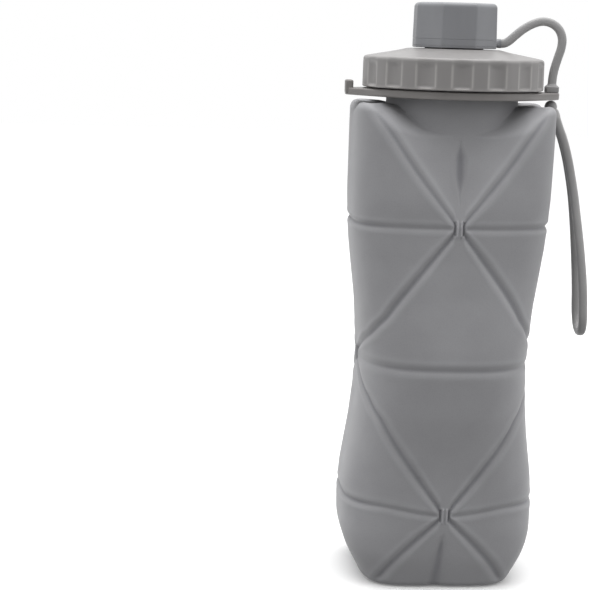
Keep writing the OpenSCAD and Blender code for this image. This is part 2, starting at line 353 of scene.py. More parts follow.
# Linear colours.
BODY_GREY = (0.322, 0.322, 0.335)
STRAP_GREY = (0.37, 0.367, 0.367)
CAP_GREY = (0.25, 0.255, 0.27)
LID_GREY = (0.285, 0.276, 0.273)
# The carry ring: the lid's grey darkened to about four fifths, painted shade for the lid's shadow over it.
RING_SHADED_GREY = (0.22, 0.208, 0.203)
BODY = silicone("body_silicone", BODY_GREY)
STRAP = silicone("strap_silicone", STRAP_GREY, 0.08)
CAP = moulded_plastic("cap_plastic", CAP_GREY, 2400, (0.36, 0.5), edges=False)
PLASTIC = moulded_plastic("grey_plastic", LID_GREY)
# A darker copy of the lid's plastic for the carry ring: painted shade.
RING_SHADED_PLASTIC = moulded_plastic("ring_shaded_plastic", RING_SHADED_GREY)
SEAL = seal_silicone("seal_silicone")


# ---------- cords ----------

# Thickness of the strap's cords, and the step between the loops of points along them.
CORD_D, CORD_STEP = 3.4, 0.7
# The same routes as in the part's source, in metres.
TETHER_ROUTE = [
    [0.0185, 0, 0.2146], [0.0202, 0, 0.2148], [0.022, 0, 0.2159], [0.0243, 0, 0.218], [0.0272, 0, 0.2204],
    [0.0307, 0, 0.2225], [0.0348, 0, 0.2237], [0.0387, 0, 0.2229], [0.0416, 0, 0.2205], [0.0429, 0, 0.2171],
    [0.0427, 0, 0.2135], [0.0416, 0, 0.2096], [0.0405, 0, 0.2056], [0.0399, 0, 0.202], [0.0397, 0, 0.198]]
LOOP_ROUTE = [
    [0.0419, -0.00175, 0.1854], [0.0432, -0.0018, 0.182], [0.0452, -0.0018, 0.177], [0.0473, -0.0019, 0.17],
    [0.0489, -0.0021, 0.163], [0.0503, -0.0026, 0.156], [0.0514, -0.0033, 0.149], [0.0524, -0.0044, 0.142],
    [0.0533, -0.0056, 0.135], [0.0541, -0.0066, 0.128], [0.0548, -0.0074, 0.121], [0.0553, -0.0079, 0.114],
    [0.0556, -0.008, 0.1076], [0.0558, -0.0073, 0.1043], [0.0559, -0.0056, 0.1016], [0.056, -0.0031, 0.1001],
    [0.056, 0, 0.0996]]
# The tether's point where its stalk on the cap's ring ends and its long run to the tab begins.
TETHER_SPLIT = 5


def make_tether():
    """The strap between the cap's ring and the tab, in two pieces that part at the top of its rise."""
    split = np.array(TETHER_ROUTE[TETHER_SPLIT]) / MM
    path = smooth_route(np.array(TETHER_ROUTE) / MM, CORD_STEP)
    cut = int(np.argmin(np.linalg.norm(path - split, axis=1)))
    stalk, run = Build(), Build()
    rings = tube_rings(path, (0, 1, 0), CORD_D, CORD_D)
    stalk.rings(rings[:cut + 1])
    run.rings(rings[cut:])
    stalk_obj = mesh_object("tether_stalk", stalk, STRAP)
    run_obj = mesh_object("tether_run", run, STRAP)
    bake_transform(stalk_obj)
    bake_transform(run_obj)
    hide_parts("strap_tether")


def make_hand_loop():
    """The loop for the hand: down the front strand, round the bottom and up the back strand."""
    front = np.array(LOOP_ROUTE) / MM
    route = np.vstack([front, front[-2::-1] * (1, -1, 1)])
    path = smooth_route(route, CORD_STEP)
    loop = Build()
    loop.rings(tube_rings(path, (1, 0, 0), CORD_D, CORD_D))
    obj = mesh_object("hand_strap", loop, STRAP)
    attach(obj, "hand_loop")
    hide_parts("hand_loop")


make_tether()
make_hand_loop()


# ---------- bottle body ----------

# The wall's thickness, its neck's radius, its half width, and the height where the neck leaves it.
WALL, NECK_R, WIDE, SHOULDER_Z = 2.2, NECK_HIGH[0] - 0.9, WALL_HIGH[0], WALL_HIGH[2]
# Heights of the ring creases.
LOW_CREASE, MID_CREASE, TOP_CREASE = 30.5, 89.3, 144
# Each ring crease's height, how much deeper it gets away from its stars, and its half width.
RING_CREASES = [(LOW_CREASE, 0.4, 1.05), (MID_CREASE, 0.15, 1.3), (TOP_CREASE, 0.4, 1.05)]
# How far the lowest ring crease rises from the stars to the corners.
LOW_RISE = 3
# How deep the creases go, and how far their lips stand out beside them.
CREASE_DEPTH, LIP_HEIGHT = 1.1, 0.13
# A star's two slits and its ribs: depth or height, distance from the middle, and half width.
SLIT_DEPTH, SLIT_OFF, SLIT_HALF = 1.1, 1.65, 0.45
RIB_HEIGHT, RIB_OFF, RIB_HALF = 0.6, 0.8, 0.36
# Radii of the rounded edges at the base and the shoulder, rise of the shoulder's corners, and their blur.
BASE_ROUND, SHOULDER_ROUND, CORNER_LIFT, EAR_ROUND = 2.4, 3.2, 2.2, 2.2
# How the soft wall stands out of line with its neck: to the left at the base, and turned, in degrees.
LEAN, TWIST = 1.9, 2.6
# Half widths by height, as differences from the widest: across X, then across Y.
HALF_X = [
    (0, -10), (3, -8.4), (6, -6.6), (11, -3.9), (15, -2.3), (20, -1.1), (30.5, -0.6), (42, -1.3), (61, -4.1),
    (74, -5.4), (87.5, -5.9), (98, -5.4), (111, -4.4), (123, -2.7), (135, -1.1), (144, -0.4), (154, 0),
    (189, 0)]
HALF_Y = [
    (0, -9.2), (12, -6), (22, -4.8), (30.5, -4.2), (45, -3.5), (58, -2.3), (70, -0.8), (87.5, 0.2),
    (96, -0.1), (105, -1.2), (117, -2.8), (130, -4), (144, -4.5), (152, -4.5), (172, -6.4), (189, -8.1)]
# How square the outline is by height, as the power of its superellipse.
SQUARENESS = [(0, 4.5), (30.5, 3.2), (87.5, 2.8), (144, 3.2), (189, 4.5)]
# The top facets: their place behind the full half width, how they fall back with height, and their blend.
GUSSET_BACK, GUSSET_FALL, GUSSET_ROUND = 4.5, 0.25, 6
# Rise of the ridges beside them for 1 mm across.
RIDGE_SLOPE = 1.25
# How far up the top facets meet the neck, and the curve of the line where they do.
NECK_LINE_RISE, NECK_LINE_CURVE = 35.2, 0.0153
# Paths of the long creases between the stars: share of the quarter outline by height.
MIDDLE_UP = [(89.3, 1), (92.5, 0.92), (96.5, 0.78), (101.6, 0.6), (108.3, 0.46), (124.5, 0.25), (144, 0)]
MIDDLE_DOWN = [(30.5, 0), (51, 0.25), (67.8, 0.46), (75.4, 0.62), (81.4, 0.8), (85.7, 0.92), (89.3, 1)]
# Heights of the rows inside the wall, from the shoulder down to the inner floor.
INSIDE_HEIGHTS = (185.8, 184, 181, 178, 174, 168, 160, 152, 144, 134, 122, 110,
                  98, 87.5, 76, 64, 52, 40, 30.5, 22, 14, 8, 5, 3.2)
# The underside's loops from its middle outwards: share of the foot's outline, and height.
UNDERSIDE = ((0.02, 0.7), (0.5, 0.7), (0.84, 0.7), (0.87, 0.45), (0.885, 0.12), (0.9, 0))


def profile(table, z, soften=2.5):
    """A table's value by height, with its corners rounded."""
    heights, values = np.array(table).T
    spread = np.linspace(-2, 2, 9)
    weights = np.exp(-spread ** 2)
    nearby = [np.interp(z + s * soften, heights, values) for s in spread]
    return sum(w * value for w, value in zip(weights, nearby)) / weights.sum()


def quarter_outline(z):
    """The outline at height z from the front's middle to the side's: x, outward y and length along it."""
    half_x, half_y = WIDE + profile(HALF_X, z), WIDE + profile(HALF_Y, z)
    power = profile(SQUARENESS, z)
    t = np.linspace(0, pi / 2, 361)
    r = (np.abs(np.sin(t) / half_x) ** power + np.abs(np.cos(t) / half_y) ** power) ** (-1 / power)
    x, y = r * np.sin(t), r * np.cos(t)
    rise = z - TOP_CREASE
    if rise > 0:
        y = with_top_facet(x, y, z, rise)
    x, y = round_corners(x, y, EAR_ROUND * smoothstep(176, SHOULDER_Z, z))
    return x, y, lengths_along(np.column_stack([x, y]))


def with_top_facet(x, y, z, rise):
    """An outline's outward y with the flat facet between its ridges drawn in, up to the neck's round."""
    ridge_x = rise / RIDGE_SLOPE
    ridge_y = np.interp(ridge_x, x, y)
    inner_x = sqrt(max(rise - NECK_LINE_RISE, 0) / NECK_LINE_CURVE)
    below_neck = rise < NECK_LINE_RISE
    flat_y = WIDE - GUSSET_BACK - GUSSET_FALL * rise
    inner_y = flat_y if below_neck else sqrt(NECK_R ** 2 - inner_x ** 2)
    rounded = np.hypot(x, GUSSET_ROUND)
    start, stop = np.hypot(inner_x, GUSSET_ROUND), np.hypot(ridge_x, GUSSET_ROUND)
    facet = inner_y + (ridge_y - inner_y) * (rounded - start) / (stop - start)
    y = np.where(x < ridge_x, np.minimum(y, facet), y)
    if rise > NECK_LINE_RISE - 8:
        neck_r = NECK_R + 0.05 - 0.4 * smoothstep(181, 188.5, z)
        neck = np.sqrt(np.maximum(neck_r ** 2 - x ** 2, 0))
        y = np.where(x < NECK_R, soft_max(y, neck, 0.5), y)
    return y


def round_corners(x, y, spread):
    """A quarter outline blurred along its length, mirrored past both ends, so that its corners turn round."""
    if spread < 0.05:
        return x, y
    along = lengths_along(np.column_stack([x, y]))
    step = 0.2
    even = np.arange(0, along[-1], step)
    ex = np.append(np.interp(even, along, x), x[-1])
    ey = np.append(np.interp(even, along, y), y[-1])
    reach = int(3 * spread / step) + 1
    ex = np.concatenate([-ex[reach:0:-1], ex, ex[-2:-2 - reach:-1]])
    ey = np.concatenate([ey[reach:0:-1], ey, -ey[-2:-2 - reach:-1]])
    weights = np.exp(-0.5 * (np.arange(-reach, reach + 1) * step / spread) ** 2)
    weights /= weights.sum()
    return np.convolve(ex, weights, "valid"), np.convolve(ey, weights, "valid")


def crease_place(z, along, x):
    """Where the long crease crosses this height, as a length along the outline, and how strong it is."""
    total = along[-1]
    if z > TOP_CREASE:
        return np.interp((z - TOP_CREASE) / RIDGE_SLOPE, x, along), smoothstep(188.5, 182, z)
    if z > MID_CREASE:
        return total * profile(MIDDLE_UP, z, 1.2), 1.0
    if z > LOW_CREASE:
        return total * profile(MIDDLE_DOWN, z, 1.2), 1.0
    return total * 0.5 * (LOW_CREASE - z) / LOW_CREASE, smoothstep(0, 4, z)


def trough(distance, half_width):
    """1 in the middle of a groove or a ridge, and nearly 0 at twice its half width."""
    return np.exp(-(distance / half_width) ** 2)


def star(across, up):
    """Outward push of a star's two slits and of its ribs, at a distance across and up from its middle."""
    tall = smoothstep(3.1, 2.2, np.abs(up))
    slits = -SLIT_DEPTH * trough(np.abs(across) - SLIT_OFF, SLIT_HALF) * tall
    ribs = RIB_HEIGHT * trough(np.abs(across) - RIB_OFF, RIB_HALF) * smoothstep(3.5, 2.5, np.abs(up))
    return slits, ribs


def ring_creases(z, s, total):
    """Depth and lips of the ring creases at height z, by length s along a quarter of the outline."""
    depth, lips = np.zeros((2, len(s)))
    for crease_z, deepens, half_width in RING_CREASES:
        clear = total - s - 1.9 if crease_z == MID_CREASE else s - 1.9
        there = (0.42 + deepens * smoothstep(20, 40, clear)) * smoothstep(0, 1.2, clear)
        line_z = crease_z + (LOW_RISE * smoothstep(2, 28, s) if crease_z == LOW_CREASE else 0)
        depth = np.maximum(depth, there * trough(z - line_z, half_width))
        beside = np.abs(z - line_z) - 2.3 * half_width
        lips = np.maximum(lips, there * trough(beside, 0.85 * half_width))
    return depth, lips


def long_crease(z, s, along, x):
    """Depth and lips of the long crease at height z, by length s along a quarter of the outline."""
    step = 0.6
    where, strong = crease_place(z, along, x)
    above, _ = crease_place(z + step, along, x)
    slope = (above - where) / step
    away = np.abs(s - where) / sqrt(1 + min(slope ** 2, 9))
    clear = np.minimum(s, along[-1] - s) - 1.5
    open_w = 0.9 + 0.35 * smoothstep(0, 14, clear)
    there = strong * smoothstep(0, 1, clear)
    return 0.85 * there * trough(away, open_w), there * trough(away - 2.3 * open_w, 0.8 * open_w)


def wall_columns():
    """Shares of the quarter outline, closest together at the stars."""
    even, crowding = np.linspace(0, 1, 131), 0.72
    return even - crowding * np.sin(2 * pi * even) / (2 * pi)


def wall_heights():
    """Heights of the outer rows, closest together at the ring creases and the rounded edges."""
    fine, coarse = 0.32, 0.85
    heights, z = [], 0.0
    while z < SHOULDER_Z - 0.1:
        heights.append(z)
        near = min(abs(z - crease_z) for crease_z, _, _ in RING_CREASES)
        edge = min(z, SHOULDER_Z - z)
        z += fine if near < 4.2 or edge < 3.6 else coarse
    return heights + [SHOULDER_Z]


def rounding(radius, gap):
    """How far a rounded edge draws in at a height gap from its end."""
    reach = max(radius - gap, 0)
    return radius - sqrt(radius ** 2 - reach ** 2)


def hole_quarter(radius, shares):
    """A quarter of the round hole for the neck, its points spread as the shoulder's outline needs."""
    x, _, along = quarter_outline(SHOULDER_Z)
    s = shares * along[-1]
    inner_x = sqrt((SHOULDER_Z - TOP_CREASE - NECK_LINE_RISE) / NECK_LINE_CURVE)
    leave = np.interp(inner_x, x, along)
    leave_turn = asin(min(inner_x / NECK_R, 1))
    past = (pi / 2 - leave_turn) * (s - leave) / (along[-1] - leave)
    turn = np.where(s < leave, leave_turn * s / leave, leave_turn + past)
    return radius * np.sin(turn), radius * np.cos(turn)


def quarter_row(z, shares, detail, inset):
    """One quarter of a row, and for each of its points how deep in a crease it is (for painted shade) and how
    much painted highlight it gets.
    """
    x, y, along = quarter_outline(z)
    total = along[-1]
    s = shares * total
    px, py = np.interp(s, along, x), np.interp(s, along, y)
    tx, ty = np.gradient(px, s), np.gradient(py, s)
    size = np.hypot(tx, ty)
    nx, ny = -ty / size, tx / size
    nx[0], ny[0], nx[-1], ny[-1] = 0, 1, 1, 0
    off_neck = smoothstep(0.3, 3, np.hypot(px, py) - NECK_R) if z > TOP_CREASE + 25 else 1.0
    drawn_in = rounding(SHOULDER_ROUND, SHOULDER_Z - z)
    if drawn_in > 0:
        hole_x, hole_y = hole_quarter(NECK_R, shares)
        gap = np.maximum(np.hypot(hole_x - px, hole_y - py), 0.01)
        share = drawn_in * smoothstep(0, 6, gap) * np.minimum(1, 0.4 * gap / SHOULDER_ROUND) / gap
        px, py = px + (hole_x - px) * share, py + (hole_y - py) * share
    push = -rounding(BASE_ROUND, z) - inset
    depth, rubbed = np.zeros((2, len(s)))
    if detail:
        relief, depth, rubbed = creased(z, s, along, x, off_neck)
        push = push + relief
    return px + nx * push, py + ny * push, depth, rubbed


def creased(z, s, along, x, off_neck):
    """Outward push of all creases and stars by length s along a quarter, and the two marks there: depth in a
    crease for painted shade, and painted highlight.
    """
    total = along[-1]
    depth, lips = np.maximum(ring_creases(z, s, total), long_crease(z, s, along, x))
    push = (LIP_HEIGHT * lips * (1 - depth) - CREASE_DEPTH * depth) * off_neck
    up = z - TOP_CREASE
    spindle = smoothstep(8.5, 21, up) * smoothstep(34, 26, up)
    groove = (0.25 + 0.75 * spindle) * (spindle > 0.01) * trough(s, 0.3 + 1.5 * spindle)
    push = push - 0.95 * groove + 0.2 * spindle * trough(s - 2.9 * spindle, 0.9)
    depth = np.maximum(depth, groove)
    ridges = np.zeros_like(s)
    for star_z, across in ((TOP_CREASE, s), (LOW_CREASE, s), (MID_CREASE, total - s)):
        slits, ribs = star(across, z - star_z)
        push = push + slits + ribs
        depth = np.maximum(depth, np.clip(-slits - ribs, 0, 1))
        ridges = np.maximum(ridges, ribs)
    # The last mark is painted highlight: the ribs, and the creases' lips where they stand clear of a crease.
    return push, depth, np.clip(ridges + 0.22 * lips * (1 - depth), 0, 1)


def all_round(quarter, signs=(1, 1, 1, 1)):
    """A quarter's values carried round the body: front to right, to the back, to the left, to the front."""
    parts = quarter, quarter[-2::-1], quarter[1:], quarter[-2:0:-1]
    return np.concatenate([sign * part for sign, part in zip(signs, parts)])


# Signs of x and of y in the four quarters, in that order.
X_SIGNS, Y_SIGNS = (1, 1, -1, -1), (-1, 1, 1, -1)


def full_row(z, shares, detail=True, inset=0.0, least_r=0.0):
    """A closed row round the body, and its marks for depth in a crease (painted shade) and for painted
    highlight on ribs and crease lips.
    """
    qx, qy, depth, rubbed = quarter_row(z, shares, detail, inset)
    if least_r:
        grow = np.maximum(least_r / np.maximum(np.hypot(qx, qy), 1e-6), 1)
        qx, qy = qx * grow, qy * grow
    x, y = all_round(qx, X_SIGNS), all_round(qy, Y_SIGNS)
    depth, rubbed = all_round(depth), all_round(rubbed)
    base_line_top = LOW_CREASE - 6
    if detail and z < base_line_top:
        fall = (base_line_top - z) / base_line_top
        low = trough(x + 2.2 * fall, 0.6 + 2.6 * fall) * smoothstep(0, 0.35, fall) * (np.abs(x) < 12)
        y = y - np.sign(y) * CREASE_DEPTH * low
        # The low crease's depth also feeds the painted crease shade.
        depth = np.maximum(depth, 0.8 * low)
    height = lifted(x, y, z)
    c, t = cos(radians(TWIST)), sin(radians(TWIST))
    lean = LEAN * (1 - z / SHOULDER_Z)
    return np.stack([c * x - t * y - lean, t * x + c * y, height], -1), (depth, rubbed)


def lifted(x, y, z):
    """Height of the wall's points, with the shoulder's four corners a little higher than its sides."""
    corner = smoothstep(13, 27, np.abs(x)) * smoothstep(2, 13, np.abs(y))
    return z + CORNER_LIFT * corner * smoothstep(TOP_CREASE + 8, SHOULDER_Z, z)


def hole_row(z, radius, shares):
    """The round hole for the neck as a closed row."""
    qx, qy = hole_quarter(radius, shares)
    x, y = all_round(qx, X_SIGNS), all_round(qy, Y_SIGNS)
    return np.stack([x, y, np.full_like(x, z)], -1)


def make_body():
    """The folding wall as one closed shell, flattened by the fold."""
    shares = wall_columns()
    hole_r = NECK_R - 1.8
    rows, marks = [], []

    def put(row, row_marks=None):
        rows.append(row)
        marks.append(np.zeros((2, len(row))) if row_marks is None else row_marks)

    foot, _ = full_row(0, shares)
    for share, z in UNDERSIDE:
        put(foot * (share, share, 0) + (0, 0, z))
    for z in wall_heights():
        put(*full_row(z, shares))
    put(hole_row(SHOULDER_Z, hole_r, shares))
    put(hole_row(SHOULDER_Z - WALL, hole_r, shares))
    for z in INSIDE_HEIGHTS:
        inset = WALL + (0.8 if z < 4 else 0)
        put(full_row(z, shares, False, inset, hole_r + 0.2 if z > 170 else 0)[0])
    inside_floor = rows[-1]
    for share in (0.5, 0.02):
        put(inside_floor * (share, share, 1) + (0, 0, -0.2))
    body = Build()
    body.rings(rows)
    # The two marks for the material: depth in a crease for painted shade, and painted highlight.
    crease, rubbed = np.concatenate(marks, axis=1)
    obj = mesh_object("body", body, BODY, sharp=0, crease=crease, rubbed=rubbed)
    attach(obj, "bottle")
    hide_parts("bottle_wall")
    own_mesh(obj)


make_body()


# ---------- neck, ring, lid and cap ----------

def turned(section, sides=256):
    """Loops of a turned shape from (radius, z) points."""
    turn = full_turn(sides)
    return [level_loop(r, turn, z) for r, z in section]


def arc(centre_r, centre_z, radius, start, end, count=6):
    """(radius, z) points along an arc, angles in degrees from the outward direction."""
    return [(centre_r + radius * cos(radians(a)), centre_z + radius * sin(radians(a)))
            for a in np.linspace(start, end, count)]


def thread_rings(r, depth, width, lead, z, sweep, turn):
    """Loops of one helical thread ridge with run-in and run-out. A negative depth points inwards."""
    loops = []
    root = -0.4 if depth > 0 else 0.4
    run_in = 12
    for a in np.arange(0, sweep + 0.1, 3):
        grow = min(a / run_in, (sweep - a) / run_in, 1)
        foot = r + root
        tip = foot + (depth - root) * max(grow, 0.05)
        flank = tip * 0.4 + foot * 0.6
        h, c, s = z + lead * a / 360, cos(radians(a + turn)), sin(radians(a + turn))
        half = [(foot, 0.5), (flank, 0.42), (tip, 0.24)]
        section = [(q, -width * up) for q, up in half] + [(q, width * up) for q, up in half[::-1]]
        loops.append([(q * c, q * s, h + up) for q, up in (section if depth > 0 else section[::-1])])
    return loops


def make_neck():
    """The moulded neck that rises out of the shoulder, with a soft lip under the lid."""
    bore, lip_r, foot, top = NECK_R - 1.5, NECK_R + 0.9, 176, NECK_HIGH[2]
    section = [(bore, foot)] + [(NECK_R, z) for z in (foot, 184, 192, 198.6)]
    section += [(lip_r, 199.4), (lip_r, top - 0.3), (lip_r - 0.3, top), (bore, top)]
    neck = Build()
    neck.rings(turned(section), closed=True)
    obj = mesh_object("neck_sleeve", neck, BODY)
    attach(obj, "neck")
    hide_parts("bottle_neck")


def rounded_slab(build, outline, normals, hole_r, low, high, edge):
    """A flat ring with a free outline, a round hole and rounded edges."""
    turn = np.arctan2(outline[:, 1], outline[:, 0])
    inner = np.stack([np.cos(turn), np.sin(turn)], -1)
    loops = []
    for a in np.linspace(-90, 90, 9):
        level = low + edge if a < 0 else high - edge
        flat = outline - normals * edge * (1 - cos(radians(a)))
        loops.append(np.column_stack([flat, np.full(len(flat), level + edge * sin(radians(a)))]))
    small = edge / 2
    for a in (90, 45, 0, -45, -90):
        level = high - small if a >= 0 else low + small
        flat = inner * (hole_r + small * (1 - cos(radians(a))))
        loops.append(np.column_stack([flat, np.full(len(flat), level + small * sin(radians(a)))]))
    build.rings(loops, closed=True)


def outline_normals(outline):
    """Outward directions at the points of a closed outline."""
    ahead = np.roll(outline, -1, axis=0) - np.roll(outline, 1, axis=0)
    ahead /= np.linalg.norm(ahead, axis=1)[:, None]
    return np.stack([ahead[:, 1], -ahead[:, 0]], -1)


def ring_outline(radius, reach, tip):
    """A circle with a tab on each side. The tabs' straight sides run tangent from round ends into it."""
    end = reach - tip
    lean = np.arccos((radius - tip) / end)
    pieces = []
    for turn in (0, pi):
        a = turn + np.linspace(-lean, lean, 60)
        pieces.append(np.stack([end * cos(turn) + tip * np.cos(a), tip * np.sin(a)], -1))
        a = turn + np.linspace(lean, pi - lean, 140)
        pieces.append(radius * np.stack([np.cos(a), np.sin(a)], -1))
    loop = np.vstack(pieces)
    closed = np.vstack([loop, loop[:1]])
    along = lengths_along(closed)
    wanted = np.linspace(0, along[-1], 481)[:-1]
    return np.stack([np.interp(wanted, along, closed[:, k]) for k in (0, 1)], -1)


def rounded_box(build, low, high, edge, taper=0.0):
    """A block with rounded corners and edges; its top is drawn in by taper."""
    low, high = np.array(low, float), np.array(high, float)
    middle, half = (low + high) / 2, (high - low) / 2
    turn = full_turn(48)
    corner = np.stack([np.cos(turn), np.sin(turn)], -1)
    loops = []
    for a in np.linspace(-90, 90, 11):
        level = low[2] + edge if a < 0 else high[2] - edge
        rim, rise = edge * cos(radians(a)), edge * sin(radians(a))
        shrink = taper if a > 0 else 0.0
        flat = np.sign(np.round(corner, 6)) * (half[:2] - edge - shrink) + corner * rim
        loops.append(np.column_stack([flat + middle[:2], np.full(len(flat), level + rise)]))
    build.rings(loops)


# Thickness of the carry ring's tabs.
TAB_THICK = 2.8


def make_carry_ring():
    """The ring under the lid: a hook tab to the left with its upright lip, the strap's tab to the right."""
    reach, radius, hole_r, edge = RING_HIGH[0], 34.5, NECK_R + 0.3, 0.6
    low = RING_LOW[2]
    tab_high, ring_high, step_low = low + TAB_THICK, low + 3.1, low + 2.0
    ring = Build()
    outline = ring_outline(radius, reach, 6)
    rounded_slab(ring, outline, outline_normals(outline), hole_r, low, tab_high, edge)
    step = arc(radius - edge, ring_high - edge, edge, 0, 90)
    step += [(hole_r, ring_high), (hole_r, step_low), (radius, step_low)]
    ring.rings(turned(step), closed=True)
    rounded_box(ring, (-reach, -3.5, low + 0.5), (-reach + 3.2, 3.5, RING_HIGH[2]), 0.75)
    obj = mesh_object("carry_ring_shell", ring, RING_SHADED_PLASTIC)
    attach(obj, "neck")
    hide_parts("carry_ring")


# The lid's flutes: how many, how deep, how wide, and the turn of the first, in degrees.
FLUTES, FLUTE_DEPTH, FLUTE_WIDTH, FLUTES_TURNED = 16, 1.0, 8.8, 22
# Radii of the lid's bore, of its spout and of the spout's bore.
LID_BORE, SPOUT_R, SPOUT_BORE = 31.4, 11.0, 9.0
# Threads in the lid, and on the spout and in the cap: width, rise in one turn, first height, run in degrees.
LID_THREAD = {"width": 1.7, "lead": 9, "z": 198.6, "sweep": 171}
CAP_THREAD = {"width": 2.3, "lead": 10, "z": 215.2, "sweep": 189}


def lid_scallop(turn):
    """How far the flutes cut in at each angle round the lid, and how near each angle is to an arris."""
    lid_r = LID_HIGH[0]
    cut_r = FLUTE_WIDTH ** 2 / (8 * FLUTE_DEPTH) + FLUTE_DEPTH / 2
    centre = lid_r - FLUTE_DEPTH + cut_r
    off = (turn - radians(FLUTES_TURNED) + pi / FLUTES) % (2 * pi / FLUTES) - pi / FLUTES
    cut = centre * np.cos(off) - np.sqrt(np.maximum(cut_r ** 2 - (centre * np.sin(off)) ** 2, 0))
    gap = lid_r - cut
    return soft_max(gap, 0, sqrt(0.001)), trough(gap, 0.2)


def lid_section():
    """The lid's section, in order round it, as (radius, z, how much of the flutes' depth is cut there)."""
    r, low, top, rim_z, cone_z, cone_r = LID_HIGH[0], LID_LOW[2], LID_HIGH[2], 208.8, 212.0, 17.6
    ceiling, edge = 206.9, 1.5
    section = [(LID_BORE, ceiling, 0), (LID_BORE, low + 0.4, 0), (LID_BORE + 0.4, low, 0), (r - 0.9, low, 0)]
    section += [(q, z, 0) for q, z in arc(r - 0.6, low + 0.6, 0.6, -80, 0)]
    side_top = rim_z - edge
    for z in np.linspace(low + 0.6, side_top, 24)[1:]:
        fluted = smoothstep(low + 0.6, low + 1.4, z) * (1 - 0.8 * smoothstep(side_top - 2.2, side_top, z))
        section.append((r - 0.1 * (z - low) / (rim_z - low), z, fluted))
    for a in np.linspace(8, 84, 10):
        q, z = r - 0.1 - edge + edge * cos(radians(a)), side_top + edge * sin(radians(a))
        section.append((q, z, 0.2 - 0.2 * smoothstep(0, 60, a)))
    section += [(r - 3.2, rim_z + 0.32, 0), (r - 6, rim_z + 0.84, 0)]
    section += [(26, rim_z + 1.55, 0), (22, rim_z + 2.3, 0)]
    section += [(cone_r + 1.2, cone_z - 0.12, 0), (cone_r, cone_z, 0)]
    section += [(SPOUT_R + 0.8, cone_z, 0), (SPOUT_R, cone_z + 0.8, 0), (SPOUT_R, top - 0.7, 0)]
    section += [(q, z, 0) for q, z in arc(SPOUT_R - 0.6, top - 0.6, 0.6, 15, 90, 5)]
    section += [(SPOUT_BORE + 0.4, top, 0), (SPOUT_BORE, top - 0.4, 0), (SPOUT_BORE, ceiling, 0)]
    return section


def make_lid():
    """The fluted screw lid with its shallow cone, moulded spout and both threads."""
    turn = full_turn(512)
    scallop, arris = lid_scallop(turn)
    loops, rubbed = [], []
    for q, z, fluted in lid_section():
        loops.append(level_loop(q - scallop * fluted, turn, z))
        on_rim = q > LID_HIGH[0] - 1 and LID_LOW[2] + 0.1 < z < LID_LOW[2] + 1.3
        # Painted highlight on the flutes' arrises, and a weaker painted highlight on the rounded lower rim
        # below the flutes.
        rubbed.append(np.maximum(arris * fluted, 0.35 * on_rim * (1 - fluted)))
    lid = Build()
    lid.rings(loops, closed=True)
    for k in range(3):
        lid.rings(thread_rings(LID_BORE, -1.5, turn=60 + 120 * k, **LID_THREAD))
    for k in range(2):
        lid.rings(thread_rings(SPOUT_R, 1.3, turn=180 * k, **CAP_THREAD))
    threads = np.zeros(len(lid.points) - len(rubbed) * len(turn))
    obj = mesh_object("lid_shell", lid, PLASTIC, sharp=50, rubbed=np.concatenate(rubbed + [threads]))
    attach(obj, "lid")
    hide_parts("lid")


# The cap's radius to its corners, their rounding, and how far it is turned, in degrees.
CAP_R, CAP_CORNER, CAP_TURNED = 17.3, 1.6, 23
# The tiny bevel on both sides of the seam between the cap and the strap's ring.
SEAM = 0.04


def octagon(sides):
    """Radius of an octagon with rounded corners at each of many angles, and the angles."""
    turn = full_turn(sides)
    flat = CAP_R * cos(pi / 8)
    off = (turn - radians(CAP_TURNED) + pi / 8) % (pi / 4) - pi / 8
    corner_r = flat / cos(pi / 8) - CAP_CORNER * (1 / cos(pi / 8) - 1)
    reach = flat / np.cos(pi / 8 - np.abs(off))
    middle = CAP_R - CAP_CORNER / cos(pi / 8)
    inside = np.maximum(CAP_CORNER ** 2 - (middle * np.sin(off)) ** 2, 0)
    round_r = middle * np.cos(off) + np.sqrt(inside)
    on_corner = np.abs(off) < np.arcsin(min(CAP_CORNER * sin(pi / 8) / corner_r, 1))
    return np.where(on_corner, np.minimum(round_r, reach), reach), turn


def make_cap():
    """The eight-sided cap, with the groove for the strap's ring, its bore and its thread."""
    reach, turn = octagon(512)
    low, high = CAP_LOW[2], CAP_HIGH[2]
    groove_low, groove_high, groove_r = low + 0.9, low + 3.5, 13.9
    bore, ceiling, edge, draft = 12.7, high - 2.8, 1.9, 0.24
    section = [(0.2, ceiling), (bore - 0.6, ceiling), (bore, ceiling - 0.6), (bore, low + 0.3)]
    section += [(bore + 0.3, low), (reach - 0.35, low), (reach - 0.1, low + 0.1), (reach, low + 0.35)]
    section += [(reach, groove_low - SEAM), (reach - SEAM, groove_low), (groove_r, groove_low)]
    section += [(groove_r, groove_high), (reach - SEAM, groove_high), (reach, groove_high + SEAM)]
    for share in np.linspace(0.125, 1, 8):
        section.append((reach - draft * share, groove_high + (high - edge - groove_high) * share))
    rubbed = [0.0] * len(section)
    # Painted highlight that grows over the cap's rounded top edge.
    for a in np.linspace(10, 90, 10):
        inset, rise = edge * (1 - cos(radians(a))), edge * sin(radians(a))
        section.append((reach - inset - draft, high - edge + rise))
        rubbed.append(0.15 * smoothstep(15, 60, a))
    section += [(reach * share, high - 0.05) for share in (0.8, 0.5, 0.2)] + [(0.2, high - 0.05)]
    cap = Build()
    cap.rings([level_loop(radius, turn, z) for radius, z in section])
    for k in range(2):
        cap.rings(thread_rings(bore, -1.3, turn=90 + 180 * k, **CAP_THREAD))
    rubbed = np.repeat(rubbed, len(turn))
    rubbed = np.concatenate([rubbed, np.zeros(len(cap.points) - len(rubbed))])
    obj = mesh_object("cap_shell", cap, CAP, sharp=30, rubbed=rubbed)
    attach(obj, "cap")
    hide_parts("cap")


# ---------- strap pieces ----------

